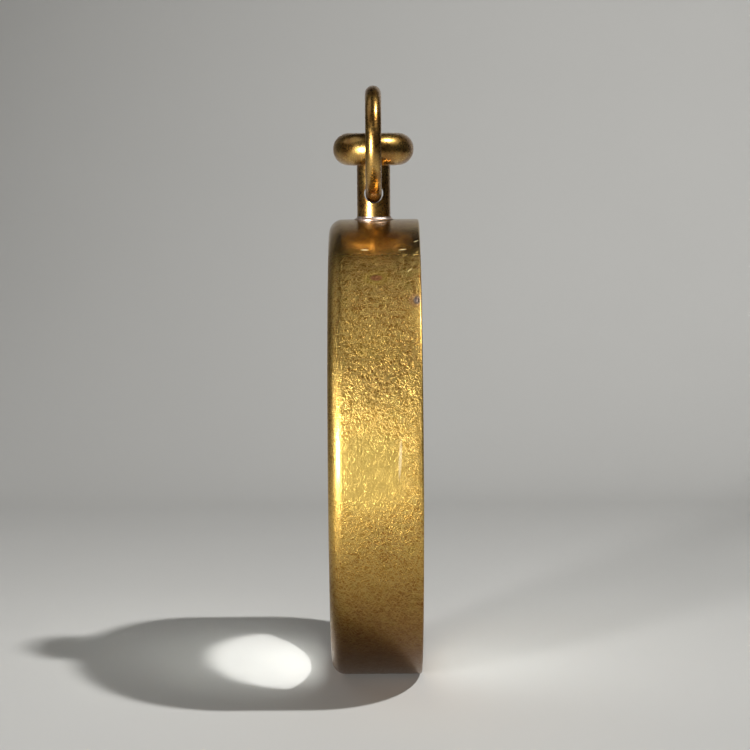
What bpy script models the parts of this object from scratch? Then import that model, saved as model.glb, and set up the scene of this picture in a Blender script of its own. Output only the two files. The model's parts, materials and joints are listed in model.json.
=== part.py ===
"""See-through locket: a turned brass drum, a lens in a pull-off bezel, a flat back glass.

The drum stands on its edge with its pendant on top. +Z points up through the pendant to
the bow, -Y is the front (the lens), +Y the back (the rounded edge). The origin is at the
inside top of the bow, where a chain or a ribbon holds the locket.
"""
import math

import bmesh
import bpy
from mathutils import Matrix, Vector

MM = 0.001

# Drum
CASE_DIAMETER = 50.0 * MM
CASE_DEPTH = 9.8 * MM
CASE_WALL = 1.2 * MM
BEZEL_SHOULDER = 0.5 * MM          # step in the bore that stops the bezel
BACK_LIP_THICKNESS = 0.8 * MM
BACK_LIP_WIDTH = 2.8 * MM
BACK_EDGE_RADIUS = 1.5 * MM
FRONT_EDGE_BREAK = 0.25 * MM
BORE_EDGE_BREAK = 0.15 * MM
NICK_ANGLE = math.radians(44.0)    # above the horizontal, on the -X side
NICK_FROM_FRONT = 0.45 * MM
NICK_SIZE = (0.20 * MM, 0.43 * MM, 0.17 * MM)   # half sizes: deep, along the rim, across it

# Back glass, its ring, and the frame that lines the keepsake chamber
BACK_GLASS_THICKNESS = 1.05 * MM
BACK_RING_THICKNESS = 1.05 * MM
BACK_RING_WIDTH = 2.05 * MM
FRAME_WALL = 0.35 * MM
FRAME_FLANGE_WIDTH = 2.35 * MM

# Front bezel, lens and the split wire ring behind the lens
BEZEL_RECESS = 0.05 * MM
BEZEL_WALL = 2.45 * MM             # from the lens seat to the bezel's outside
BEZEL_LIP_WIDTH = 1.3 * MM
BEZEL_LIP_CHAMFER = 0.5 * MM
BEZEL_LAND = 0.27 * MM             # metal left behind the ring's groove
LENS_SURFACE_RADIUS = 208.0 * MM
LENS_EDGE_THICKNESS = 1.04 * MM
LENS_RECESS = 0.25 * MM
SNAP_WIRE_DIAMETER = 0.8 * MM
SNAP_GROOVE_PLAY = 0.06 * MM
SNAP_RING_GAP = math.radians(25.0)

# Pendant
POST_DIAMETER = 3.64 * MM
POST_HEIGHT = 5.9 * MM
TENON_DIAMETER = 2.4 * MM
SPIGOT_LENGTH = 2.0 * MM
SEAM_WIDTH = 0.33 * MM
SEAM_HEIGHT = 0.30 * MM
BOW_HINGE_HEIGHT = 2.86 * MM       # above the drum
HOLE_CHAMFER = 0.3 * MM
CROWN_DIAMETER = 8.8 * MM
CROWN_HEIGHT = 3.5 * MM
CROWN_EDGE_RADIUS = 1.7 * MM
BOW_WIRE_DIAMETER = 1.75 * MM

# Clearances
FIT_GAP = 0.05 * MM                # between turned pieces that nest
JOINT_GAP = 0.03 * MM              # at the soldered joints
LENS_SIDE_GAP = 0.1 * MM
BOW_PLAY = 0.11 * MM               # wire to hole, at its tightest
BOW_CROWN_GAP = 0.18 * MM

# Facets
RING_STEPS = 80
POST_STEPS = 32
CROWN_STEPS = 48
ARC_STEPS = 4
BOW_STEPS = (60, 12)
NICK_STEPS = (12, 8)
MERGE_DISTANCE = 0.001 * MM
CUT_MARGIN = 1.0 * MM
SHARP_ANGLE = math.radians(32.0)

# Radii that follow from the sizes above
case_radius = CASE_DIAMETER / 2
front_bore = case_radius - CASE_WALL
rear_bore = front_bore - BEZEL_SHOULDER
back_window = rear_bore - BACK_LIP_WIDTH
insert_radius = rear_bore - FIT_GAP
bezel_radius = front_bore - FIT_GAP
lens_seat = bezel_radius - BEZEL_WALL
lens_radius = lens_seat - LENS_SIDE_GAP
front_window = lens_seat - BEZEL_LIP_WIDTH
snap_wire_radius = SNAP_WIRE_DIAMETER / 2
snap_groove_radius = snap_wire_radius + SNAP_GROOVE_PLAY
snap_ring_radius = lens_seat - FIT_GAP
post_radius = POST_DIAMETER / 2
tenon_radius = TENON_DIAMETER / 2
crown_radius = CROWN_DIAMETER / 2
bow_wire_radius = BOW_WIRE_DIAMETER / 2


def sagitta(radius):
    """How far a lens surface falls away from its middle at this radius."""
    return LENS_SURFACE_RADIUS - math.sqrt(LENS_SURFACE_RADIUS ** 2 - radius ** 2)


# Heights along the drum's axis, measured from its middle towards the front
case_front = CASE_DEPTH / 2
case_back = -case_front
bezel_front = case_front - BEZEL_RECESS
lens_front = bezel_front - LENS_RECESS
bezel_lip_back = lens_front - sagitta(front_window) + FIT_GAP
lens_edge_front = lens_front - sagitta(lens_radius)
lens_edge_back = lens_edge_front - LENS_EDGE_THICKNESS
lens_back = lens_edge_back - sagitta(lens_radius)
snap_ring_height = lens_edge_back - FIT_GAP - snap_wire_radius
bezel_back = snap_ring_height - snap_groove_radius - BEZEL_LAND
shoulder_height = bezel_back - FIT_GAP
back_lip_front = case_back + BACK_LIP_THICKNESS
back_glass_back = back_lip_front + FIT_GAP
back_glass_front = back_glass_back + BACK_GLASS_THICKNESS
back_ring_back = back_glass_front + FIT_GAP
back_ring_front = back_ring_back + BACK_RING_THICKNESS
frame_back = back_ring_front + FIT_GAP
frame_front = shoulder_height - FIT_GAP

# Pendant heights, measured up from the top of the drum
crown_bottom = POST_HEIGHT + JOINT_GAP
crown_middle = crown_bottom + CROWN_HEIGHT / 2
tenon_end = -(CASE_WALL - FIT_GAP)


def bow_size():
    """Mean radius of the bow, and how much its wire curves inside the post.

    The crown's rounded edge clears the inside of the bow by BOW_CROWN_GAP. The wire curves
    through a straight hole, so the hinge axis runs halfway up that curve.
    """
    edge_centre = crown_radius - CROWN_EDGE_RADIUS
    keep_out = bow_wire_radius + CROWN_EDGE_RADIUS + BOW_CROWN_GAP
    rise = 0.0
    for _ in range(8):
        reach = crown_middle - BOW_HINGE_HEIGHT + rise / 2
        radius = (edge_centre ** 2 + reach ** 2 - keep_out ** 2) / (2 * (reach - keep_out))
        rise = radius - math.sqrt(radius ** 2 - post_radius ** 2)
    return radius, rise


bow_radius, bow_rise = bow_size()
bow_hole_radius = bow_wire_radius + bow_rise / 2 + BOW_PLAY
bow_centre_height = BOW_HINGE_HEIGHT - bow_rise / 2 + bow_radius
drum_top = -(bow_centre_height + bow_radius - bow_wire_radius)
drum_centre = drum_top - case_radius


def clear_scene():
    for old in list(bpy.data.objects):
        bpy.data.objects.remove(old, do_unlink=True)


def new_collection(name):
    collection = bpy.data.collections.new(name)
    bpy.context.scene.collection.children.link(collection)
    return collection


def new_material(name, colour, metallic, roughness, transmission=0.0):
    material = bpy.data.materials.new(name)
    material.use_nodes = True
    shader = material.node_tree.nodes["Principled BSDF"]
    shader.inputs["Base Color"].default_value = (*colour, 1.0)
    shader.inputs["Metallic"].default_value = metallic
    shader.inputs["Roughness"].default_value = roughness
    shader.inputs["Transmission Weight"].default_value = transmission
    return material


def new_object(name, data, collection, parent=None):
    thing = bpy.data.objects.new(name, data)
    collection.objects.link(thing)
    thing.parent = parent
    return thing


def new_axis(name, collection, location, rotation=(0.0, 0.0, 0.0), parent=None):
    """An empty that carries the pieces turned about its local Z."""
    axis = new_object(name, None, collection, parent)
    axis.location = location
    axis.rotation_euler = rotation
    return axis


def profile_mesh(name, points, closed):
    """Edges through (radius, height) points in the XZ plane."""
    vertices = [(radius, 0.0, height) for radius, height in points]
    edges = [(i, i + 1) for i in range(len(points) - 1)]
    if closed:
        edges.append((len(points) - 1, 0))
    mesh = bpy.data.meshes.new(name)
    mesh.from_pydata(vertices, edges, [])
    return mesh


def turned(name, points, steps, collection, parent=None, closed=True):
    """Turn a profile about local Z. The profile runs down its outer side."""
    thing = new_object(name, profile_mesh(name, points, closed), collection, parent)
    screw = thing.modifiers.new("Turn", "SCREW")
    screw.steps = steps
    screw.render_steps = steps
    screw.use_merge_vertices = True
    screw.merge_threshold = MERGE_DISTANCE
    return thing


def arc(centre, radius, start, end, steps=ARC_STEPS):
    """Points on an arc, angles in degrees from +radius towards +height."""
    points = []
    for i in range(steps + 1):
        angle = math.radians(start + (end - start) * i / steps)
        offset = (radius * math.cos(angle), radius * math.sin(angle))
        points.append((centre[0] + offset[0], centre[1] + offset[1]))
    return points


def join_cut(thing, other, operation):
    modifier = thing.modifiers.new(operation.title(), "BOOLEAN")
    modifier.operation = operation
    modifier.object = other


def settle(thing, material):
    """Make the modifiers' result the object's own mesh, shade it and give it its material."""
    bpy.context.view_layer.update()
    graph = bpy.context.evaluated_depsgraph_get()
    mesh = bpy.data.meshes.new_from_object(thing.evaluated_get(graph))
    thing.modifiers.clear()
    work = bmesh.new()
    work.from_mesh(mesh)
    bmesh.ops.remove_doubles(work, verts=work.verts, dist=MERGE_DISTANCE)
    work.to_mesh(mesh)
    work.free()
    mesh.shade_smooth()
    mesh.set_sharp_from_angle(angle=SHARP_ANGLE)
    mesh.materials.clear()
    mesh.materials.append(material)
    thing.data = mesh
    return thing


def mark_cutter(thing):
    thing.hide_render = True
    thing.display_type = "WIRE"
    return thing


def drum_cutter(cutters, axis):
    """The drum's outside, a joint's gap larger, which saddles what is soldered on top."""
    radius = case_radius + JOINT_GAP
    points = [(0.0, case_front), (radius, case_front), (radius, case_back), (0.0, case_back)]
    return mark_cutter(turned("drum_cutter", points, RING_STEPS, cutters, axis, closed=False))


def bow_hole_cutter(cutters, pendant):
    """Cross hole for the bow along X, opened out at both mouths."""
    mouth = post_radius + JOINT_GAP
    throat = post_radius - HOLE_CHAMFER
    wide = bow_hole_radius + mouth - throat
    end = post_radius + CUT_MARGIN
    points = [(0.0, end), (wide, end), (wide, mouth), (bow_hole_radius, throat)]
    points += [(radius, -height) for radius, height in reversed(points)]
    cutter = turned("bow_hole_cutter", points, POST_STEPS, cutters, pendant, closed=False)
    cutter.location = (0.0, 0.0, BOW_HINGE_HEIGHT)
    cutter.rotation_euler = (0.0, math.pi / 2, 0.0)
    return mark_cutter(cutter)


def tenon_hole_cutter(cutters, pendant):
    radius = tenon_radius + JOINT_GAP
    low = -(CASE_WALL + BEZEL_SHOULDER + CUT_MARGIN)
    points = [(0.0, CUT_MARGIN), (radius, CUT_MARGIN), (radius, low), (0.0, low)]
    cutter = turned("tenon_hole_cutter", points, POST_STEPS, cutters, pendant, closed=False)
    return mark_cutter(cutter)


def nick_cutter(cutters, axis):
    """A small oval nick beside the front edge, where a blade lifts the bezel."""
    mesh = bpy.data.meshes.new("nick_cutter")
    work = bmesh.new()
    bmesh.ops.create_uvsphere(work, u_segments=NICK_STEPS[0], v_segments=NICK_STEPS[1], radius=1.0)
    bmesh.ops.scale(work, vec=Vector(NICK_SIZE), verts=work.verts)
    work.to_mesh(mesh)
    work.free()
    cutter = new_object("nick_cutter", mesh, cutters, axis)
    angle = math.pi - NICK_ANGLE
    height = case_front - NICK_FROM_FRONT
    cutter.location = (case_radius * math.cos(angle), case_radius * math.sin(angle), height)
    cutter.rotation_euler = (0.0, 0.0, angle)
    return mark_cutter(cutter)


def make_case(parts, cutters, axis, pendant, brass):
    back_arc_centre = (case_radius - BACK_EDGE_RADIUS, case_back + BACK_EDGE_RADIUS)
    points = [
        (front_bore + BORE_EDGE_BREAK, case_front),
        (case_radius - FRONT_EDGE_BREAK, case_front),
        (case_radius, case_front - FRONT_EDGE_BREAK),
        *arc(back_arc_centre, BACK_EDGE_RADIUS, 0.0, -90.0),
        (back_window, case_back),
        (back_window, back_lip_front),
        (rear_bore, back_lip_front),
        (rear_bore, shoulder_height),
        (front_bore, shoulder_height),
        (front_bore, case_front - BORE_EDGE_BREAK),
    ]
    case = turned("case_shell", points, RING_STEPS, parts, axis)
    join_cut(case, tenon_hole_cutter(cutters, pendant), "DIFFERENCE")
    join_cut(case, nick_cutter(cutters, axis), "DIFFERENCE")
    settle(case, brass)


def make_back_glass(parts, axis, glass):
    points = [
        (0.0, back_glass_front),
        (insert_radius, back_glass_front),
        (insert_radius, back_glass_back),
        (0.0, back_glass_back),
    ]
    settle(turned("back_glass", points, RING_STEPS, parts, axis, closed=False), glass)


def make_back_ring(parts, axis, brass):
    inside = insert_radius - BACK_RING_WIDTH
    points = [
        (inside, back_ring_front),
        (insert_radius, back_ring_front),
        (insert_radius, back_ring_back),
        (inside, back_ring_back),
    ]
    settle(turned("back_glass_ring", points, RING_STEPS, parts, axis), brass)


def make_inner_frame(parts, axis, brass):
    """A thin sleeve with a flange inwards at its back, which holds the keepsake's edge."""
    wall_inside = insert_radius - FRAME_WALL
    flange_inside = insert_radius - FRAME_FLANGE_WIDTH
    points = [
        (wall_inside, frame_front),
        (insert_radius, frame_front),
        (insert_radius, frame_back),
        (flange_inside, frame_back),
        (flange_inside, frame_back + FRAME_WALL),
        (wall_inside, frame_back + FRAME_WALL),
    ]
    settle(turned("inner_frame", points, RING_STEPS, parts, axis), brass)


def make_bezel(parts, axis, brass):
    """The outer ring of the front. The lens drops in from behind, the wire ring holds it."""
    lip = math.degrees(math.asin((lens_seat - snap_ring_radius) / snap_groove_radius))
    groove = arc((snap_ring_radius, snap_ring_height), snap_groove_radius, lip - 90.0, 90.0 - lip)
    points = [
        (front_window + BEZEL_LIP_CHAMFER, bezel_front),
        (bezel_radius, bezel_front),
        (bezel_radius, bezel_back),
        (lens_seat, bezel_back),
        *groove,
        (lens_seat, bezel_lip_back),
        (front_window, bezel_lip_back),
        (front_window, bezel_front - BEZEL_LIP_CHAMFER),
    ]
    settle(turned("front_bezel", points, RING_STEPS, parts, axis), brass)


def make_lens(parts, axis, glass):
    """Both faces bulge: the lens is ground to the same radius on each side."""
    radii = [lens_radius * i / ARC_STEPS for i in range(ARC_STEPS + 1)]
    points = [(radius, lens_front - sagitta(radius)) for radius in radii]
    points += [(radius, lens_back + sagitta(radius)) for radius in reversed(radii)]
    settle(turned("front_lens", points, RING_STEPS, parts, axis, closed=False), glass)


def make_snap_ring(parts, axis, steel):
    """A round wire bent to a ring with a gap, sprung into the bezel's groove."""
    curve = bpy.data.curves.new("lens_snap_ring", "CURVE")
    curve.dimensions = "3D"
    curve.bevel_depth = snap_wire_radius
    curve.bevel_resolution = 2
    curve.use_fill_caps = True
    spline = curve.splines.new("POLY")
    start = -math.pi / 2 + SNAP_RING_GAP / 2
    turn = 2 * math.pi - SNAP_RING_GAP
    spline.points.add(RING_STEPS - 1)
    for i, point in enumerate(spline.points):
        angle = start + turn * i / (RING_STEPS - 1)
        place = (snap_ring_radius * math.cos(angle), snap_ring_radius * math.sin(angle))
        point.co = (place[0], place[1], snap_ring_height, 1.0)
    wire = new_object("snap_ring_wire", curve, parts, axis)
    bpy.context.view_layer.update()
    graph = bpy.context.evaluated_depsgraph_get()
    mesh = bpy.data.meshes.new_from_object(wire.evaluated_get(graph))
    bpy.data.objects.remove(wire, do_unlink=True)
    settle(new_object("lens_snap_ring", mesh, parts, axis), steel)


def make_post(parts, cutters, axis, pendant, brass):
    """Stem with a saddled foot, a tenon in the drum's wall and a spigot in the crown."""
    top = POST_HEIGHT + SPIGOT_LENGTH
    points = [
        (0.0, top),
        (tenon_radius, top),
        (tenon_radius, POST_HEIGHT),
        (post_radius, POST_HEIGHT),
        (post_radius, tenon_end),
        (0.0, tenon_end),
    ]
    post = turned("pendant_post", points, POST_STEPS, parts, pendant, closed=False)
    join_cut(post, drum_cutter(cutters, axis), "DIFFERENCE")
    join_cut(post, bow_hole_cutter(cutters, pendant), "DIFFERENCE")
    tenon_points = [
        (0.0, FIT_GAP),
        (tenon_radius, FIT_GAP),
        (tenon_radius, tenon_end),
        (0.0, tenon_end),
    ]
    tenon = turned("tenon_body", tenon_points, POST_STEPS, cutters, pendant, closed=False)
    join_cut(post, mark_cutter(tenon), "UNION")
    settle(post, brass)


def make_solder_seam(parts, cutters, axis, pendant, solder):
    """A small hollow fillet of solder round the foot of the post."""
    inside = post_radius + JOINT_GAP
    outside = post_radius + SEAM_WIDTH
    sweep = outside - inside
    foot = -(case_radius - math.sqrt(case_radius ** 2 - outside ** 2)) - JOINT_GAP
    fillet = []
    for i in range(ARC_STEPS + 1):
        angle = math.pi / 2 * i / ARC_STEPS
        rise = SEAM_HEIGHT * (1.0 - math.sin(angle))
        fillet.append((outside - sweep * math.cos(angle), rise + JOINT_GAP * 2))
    points = [*fillet, (outside, foot), (inside, foot)]
    seam = turned("solder_seam", points, POST_STEPS, parts, pendant)
    cutter = drum_cutter(cutters, axis)
    join_cut(seam, cutter, "DIFFERENCE")
    settle(seam, solder)


def make_crown(parts, pendant, brass):
    """A flat-topped bullnose knob, bored from below for the post's spigot."""
    top = crown_bottom + CROWN_HEIGHT
    edge_radius = crown_radius - CROWN_EDGE_RADIUS
    bore = tenon_radius + JOINT_GAP
    bore_top = POST_HEIGHT + SPIGOT_LENGTH + JOINT_GAP * 2
    upper = (edge_radius, top - CROWN_EDGE_RADIUS)
    lower = (edge_radius, crown_bottom + CROWN_EDGE_RADIUS)
    points = [
        (0.0, top),
        *arc(upper, CROWN_EDGE_RADIUS, 90.0, 0.0),
        *arc(lower, CROWN_EDGE_RADIUS, 0.0, -90.0),
        (bore, crown_bottom),
        (bore, bore_top),
        (0.0, bore_top),
    ]
    settle(turned("crown_knob", points, CROWN_STEPS, parts, pendant, closed=False), brass)


def make_bow(parts, brass):
    """A closed round-wire ring whose origin is on its hinge axis in the post."""
    bpy.ops.mesh.primitive_torus_add(
        major_radius=bow_radius,
        minor_radius=bow_wire_radius,
        major_segments=BOW_STEPS[0],
        minor_segments=BOW_STEPS[1],
    )
    bow = bpy.context.active_object
    for collection in list(bow.users_collection):
        collection.objects.unlink(bow)
    parts.objects.link(bow)
    bow.name = "bow_ring"
    upright = Matrix.Rotation(math.pi / 2, 4, "X")
    lift = Matrix.Translation((0.0, 0.0, bow_radius - bow_rise / 2))
    bow.data.transform(lift @ upright)
    bow.location = (0.0, 0.0, drum_top + BOW_HINGE_HEIGHT)
    settle(bow, brass)


def build():
    clear_scene()
    parts = new_collection("locket")
    cutters = new_collection("cutters")
    brass = new_material("aged_brass", (0.42, 0.27, 0.10), 1.0, 0.32)
    solder = new_material("silver_solder", (0.55, 0.50, 0.46), 1.0, 0.38)
    steel = new_material("spring_steel", (0.50, 0.50, 0.50), 1.0, 0.30)
    glass = new_material("clear_glass", (1.0, 1.0, 1.0), 0.0, 0.02, 1.0)

    axis = new_axis("drum_axis", parts, (0.0, 0.0, drum_centre), (math.pi / 2, 0.0, 0.0))
    bezel_axis = new_axis("bezel_slide", parts, (0.0, 0.0, 0.0), parent=axis)
    pendant = new_axis("pendant_axis", parts, (0.0, 0.0, drum_top))

    make_case(parts, cutters, axis, pendant, brass)
    make_back_glass(parts, axis, glass)
    make_back_ring(parts, axis, brass)
    make_inner_frame(parts, axis, brass)
    make_bezel(parts, bezel_axis, brass)
    make_lens(parts, bezel_axis, glass)
    make_snap_ring(parts, bezel_axis, steel)
    make_post(parts, cutters, axis, pendant, brass)
    make_solder_seam(parts, cutters, axis, pendant, solder)
    make_crown(parts, pendant, brass)
    make_bow(parts, brass)


build()
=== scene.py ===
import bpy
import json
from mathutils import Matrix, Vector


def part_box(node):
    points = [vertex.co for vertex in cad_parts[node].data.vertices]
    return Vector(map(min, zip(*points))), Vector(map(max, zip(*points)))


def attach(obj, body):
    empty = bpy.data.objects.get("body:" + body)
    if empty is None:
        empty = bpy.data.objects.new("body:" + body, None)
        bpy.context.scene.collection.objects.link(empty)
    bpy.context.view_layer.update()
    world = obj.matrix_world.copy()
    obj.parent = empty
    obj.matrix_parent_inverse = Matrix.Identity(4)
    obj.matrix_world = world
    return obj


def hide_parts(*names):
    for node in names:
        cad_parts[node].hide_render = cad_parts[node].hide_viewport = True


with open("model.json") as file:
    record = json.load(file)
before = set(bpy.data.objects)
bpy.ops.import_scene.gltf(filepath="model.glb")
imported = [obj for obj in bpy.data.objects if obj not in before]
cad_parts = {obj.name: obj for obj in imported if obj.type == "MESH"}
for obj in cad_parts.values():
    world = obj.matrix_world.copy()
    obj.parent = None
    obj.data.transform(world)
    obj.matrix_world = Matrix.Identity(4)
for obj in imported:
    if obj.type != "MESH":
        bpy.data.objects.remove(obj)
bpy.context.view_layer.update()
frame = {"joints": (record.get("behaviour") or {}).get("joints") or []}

import json
import math

import bmesh
import bpy
import numpy as np
from bpy.props import FloatProperty, FloatVectorProperty, IntProperty, PointerProperty
from bpy.types import Operator, Panel, PropertyGroup
from mathutils import Euler, Matrix, Vector

bl_info = {
    "name": "See-through locket",
    "version": (1, 0, 0),
    "blender": (4, 5, 0),
    "location": "3D View > Sidebar > Locket",
    "description": "Builds a brass drum locket with two glasses, its pendant and a small studio",
    "category": "Add Mesh",
}

MM = 0.001
FACING_FRONT = (math.pi / 2, 0.0, 0.0)      # turns the lathe's axis to the drum's, front to -Y
UPRIGHT = (0.0, 0.0, 0.0)
HUB_RADIUS = 10.0 * MM                      # circle that the profiles are swept round
MERGE_DISTANCE = 0.0005 * MM
SHARP_ANGLE = math.radians(32.0)
RIM_MAP = "rim_mm"                          # UV map in millimetres: across the rim, round the rim
JOINT_GAP = 0.03 * MM                       # left in a soldered or pressed joint
TENON_RADIUS = 1.2 * MM                     # of the post's pins in the drum and in the crown
LENS_GATHERS = 15 * MM                      # how far out the lens sends light through the drum
GATHERED_LIGHT = 1.05                       # how much each glass surface strengthens that light

# Each lamp's aim from the drum's middle, direction from there, distance, width, height and
# spread in degrees: a small high key, a low window that lights the rim, and a large soft box.
LAMPS = (
    ("key_lamp", (0.0, 0.0, 0.0), (-0.22, -0.57, 1.0), 600 * MM, 28 * MM, 28 * MM, 60.0),
    ("low_lamp", (0.0, -0.02, 0.04), (-0.339, 0.232, -0.018), 412 * MM, 56 * MM, 42 * MM, 50.0),
    ("soft_box", (0.0, 0.0, 0.0), (0.05, 0.62, 0.78), 450 * MM, 300 * MM, 300 * MM, 180.0),
)

# Marks of wear on the rim's near side, a few painted near-white as glints: millimetres in front of
# the rim's middle, degrees above the horizontal, half width and half length in millimetres, lean
# in degrees, how strong the mark's colour is, how much it roughens the metal, and the colour.
RIM_MARKS = (
    (0.2, 51.4, 1.6, 1.3, 0.0, 0.40, 0.0, "#C8A848"),     # yellow halo of a heat stain
    (0.2, 51.4, 0.75, 0.5, 0.0, 0.70, 0.0, "#A8604A"),    # the red stain in it
    (2.5, 3.7, 0.18, 2.2, 3.0, 0.40, 0.05, "#E6DCC0"),    # whitish rub in front of the middle
    (-1.0, 62.9, 0.45, 0.16, 4.0, 1.0, 0.40, "#FFF2C4"),  # short scores near the top, painted near-white as painted glints
    (3.0, 62.9, 0.45, 0.12, -12.0, 1.0, 0.40, "#FFF2C4"),
    (4.45, 67.2, 0.36, 0.10, -40.0, 1.0, 0.40, "#FFF2C4"),
    (3.7, 54.2, 0.45, 0.09, -45.0, 0.9, 0.30, "#F6E3A4"),
    (4.2, 44.0, 0.75, 1.0, 0.0, 0.5, 0.0, "#C08A62"),     # pinkish bruise round the nick
    (4.4, 44.0, 0.42, 0.62, 0.0, 0.7, 0.0, "#6E7078"),    # grey patch at its mouth
)


# ---- What the fixed frame says about the pieces ----

def outer_radius(node):
    """Radius of a node that was turned about the drum's axis or the pendant's."""
    low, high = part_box(node)
    return (high.x - low.x) / 2


def front_and_back(node):
    """How far a node reaches towards the front and the back from the drum's middle."""
    low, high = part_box(node)
    return -low.y, -high.y


def middle(node):
    low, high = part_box(node)
    return (low + high) / 2


CASE_RADIUS = outer_radius("case_shell")
CASE_FRONT, CASE_BACK = front_and_back("case_shell")
DRUM_MIDDLE = middle("case_shell")
DRUM_TOP = DRUM_MIDDLE.z + CASE_RADIUS
FLOOR_HEIGHT = DRUM_MIDDLE.z - CASE_RADIUS
BOW_MIDDLE = middle("bow_ring")
HINGE_HEIGHT = next(j for j in frame["joints"] if j["name"] == "bow_swing")["pos_m"][2]


def linear(hex_colour):
    """A colour written as sRGB hex, in the linear values that the shaders take."""
    values = [int(hex_colour[i:i + 2], 16) / 255 for i in (1, 3, 5)]
    return [v / 12.92 if v <= 0.04045 else ((v + 0.055) / 1.055) ** 2.4 for v in values] + [1.0]


# ---- Sizes and colours that a user would change ----

def length(name, description, default, smallest=0.0):
    return FloatProperty(name=name, description=description, default=default, min=smallest,
                         unit="LENGTH", subtype="DISTANCE", precision=5)


def colour(name, description, default):
    return FloatVectorProperty(name=name, description=description, default=linear(default),
                               min=0.0, max=1.0, size=4, subtype="COLOR")


def angle(name, description, degrees):
    return FloatProperty(name=name, description=description, default=math.radians(degrees),
                         unit="ROTATION", subtype="ANGLE")


def power(name, description, default):
    return FloatProperty(name=name, description=description, default=default, min=0.0,
                         unit="POWER")


class LocketSizes(PropertyGroup):
    """Sizes of the turned and bent pieces."""

    fit_gap: length("Fit", "Gap between turned pieces that nest", 0.05 * MM)
    back_lip_width: length("Back lip", "Width of the lip that holds the back glass", 2.8 * MM)
    back_edge_radius: length("Back edge", "Radius of the case's rounded back edge", 1.5 * MM)
    front_edge_radius: length("Front edge", "Radius that breaks the case's front edge", 0.22 * MM)
    rim_waver: length("Rim waver", "How far the filed rim strays from a true circle", 0.010 * MM)
    rim_waver_spacing: length("Waver spacing", "Distance from one waver to the next", 9.0 * MM)
    frame_wall: length("Inner frame wall", "Thickness of the sleeve in the drum", 0.35 * MM)
    frame_flange: length("Inner frame flange", "Width of its flange", 2.35 * MM)
    back_ring_width: length("Back ring width", "Width of the ring on the back glass", 2.05 * MM)
    bezel_wall: length("Bezel wall", "From the lens's seat to the bezel's outside", 2.45 * MM)
    bezel_lip: length("Bezel lip", "Width of the lip in front of the lens", 1.3 * MM)
    bezel_chamfer: length("Bezel chamfer", "Chamfer round the bezel's window", 0.5 * MM)
    lens_curve: length("Lens curve", "Radius that both faces of the lens are ground to", 208 * MM)
    ring_gap: angle("Wire ring gap", "Gap in the wire ring, at the bottom", 25.0)
    bow_hole: length("Bow hole", "Radius of the hole for the bow", 1.04 * MM)
    hole_chamfer: length("Hole chamfer", "Chamfer at the mouths of the bow's hole", 0.05 * MM)
    crown_edge_radius: length("Crown edge", "Radius of the crown's rounded edge", 1.7 * MM)
    nick_angle: angle("Nick angle", "Place of the nick above the middle", 44.0)
    nick_setback: length("Nick setback", "From the case's front to the nick", 0.45 * MM)
    turning_steps: IntProperty(name="Turning steps", description="Facets round a turned piece",
                               default=512, min=64, max=1024)


class LocketFinishes(PropertyGroup):
    """Colours of the metals, the glass and the stage."""

    brass: colour("Brass", "Clean, rubbed brass", "#C99C46")
    handled_brass: colour("Handled brass", "Brass burnished by fingers", "#D6AE62")
    brass_warm: colour("Warm brass", "Brass under a thin orange-brown film", "#8C5822")
    brass_green: colour("Greenish brass", "Brass under a thin greenish film", "#9C8A38")
    # Also the colour of the painted shade on the rim's lower side.
    tarnish_and_shade: colour("Tarnish", "Old brown tarnish in pits and corners", "#5E3A10")
    inner_brass: colour("Inner brass", "Brass that hands don't reach", "#D2A558")
    solder: colour("Silver solder", "Silver solder, with a little copper", "#CDBFB4")
    steel: colour("Spring steel", "Blued grey wire", "#8F9296")
    glass: colour("Glass", "Old window glass and lens glass", "#F4F9F5")
    paper: colour("Paper", "Floor and backdrop", "#CFCECA")


class LocketStudio(PropertyGroup):
    """Places of the camera and the lights."""

    camera_distance: length("Camera distance", "From the drum's axis to the camera", 306 * MM)
    camera_height: length("Camera height", "Camera above the inside top of the bow", -0.5 * MM,
                          -1.0)
    camera_pitch: angle("Camera pitch", "How far the camera looks down", 5.50)
    camera_roll: angle("Camera roll", "Lean of the camera", -0.42)
    camera_lens: FloatProperty(name="Lens", description="Focal length on a 36 mm sensor",
                               default=134.0, min=10.0, unit="CAMERA")
    key_power: power("Key power", "Power of the small high light", 0.285)
    low_power: power("Low power", "Power of the low side light", 0.215)
    soft_power: power("Soft box power", "Power of the large soft box", 0.13)
    room_level: FloatProperty(name="Room level", description="Brightness of the room round it",
                              default=0.01, min=0.0)
    backdrop_level: FloatProperty(name="Backdrop level", min=0.0, default=0.38,
                                  description="Brightness of the room seen past the paper")


# ---- Nodes ----

def set_inputs(tree, node, inputs):
    """Sets a node's inputs or links them to sockets, by name or place."""
    for key, value in inputs.items():
        if isinstance(value, bpy.types.NodeSocket):
            tree.links.new(value, node.inputs[key])
        else:
            node.inputs[key].default_value = value


def add_node(tree, kind, settings=None, inputs=None):
    """Adds a node with its own settings and its inputs."""
    node = tree.nodes.new(kind)
    for key, value in (settings or {}).items():
        setattr(node, key, value)
    set_inputs(tree, node, inputs or {})
    return node


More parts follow.
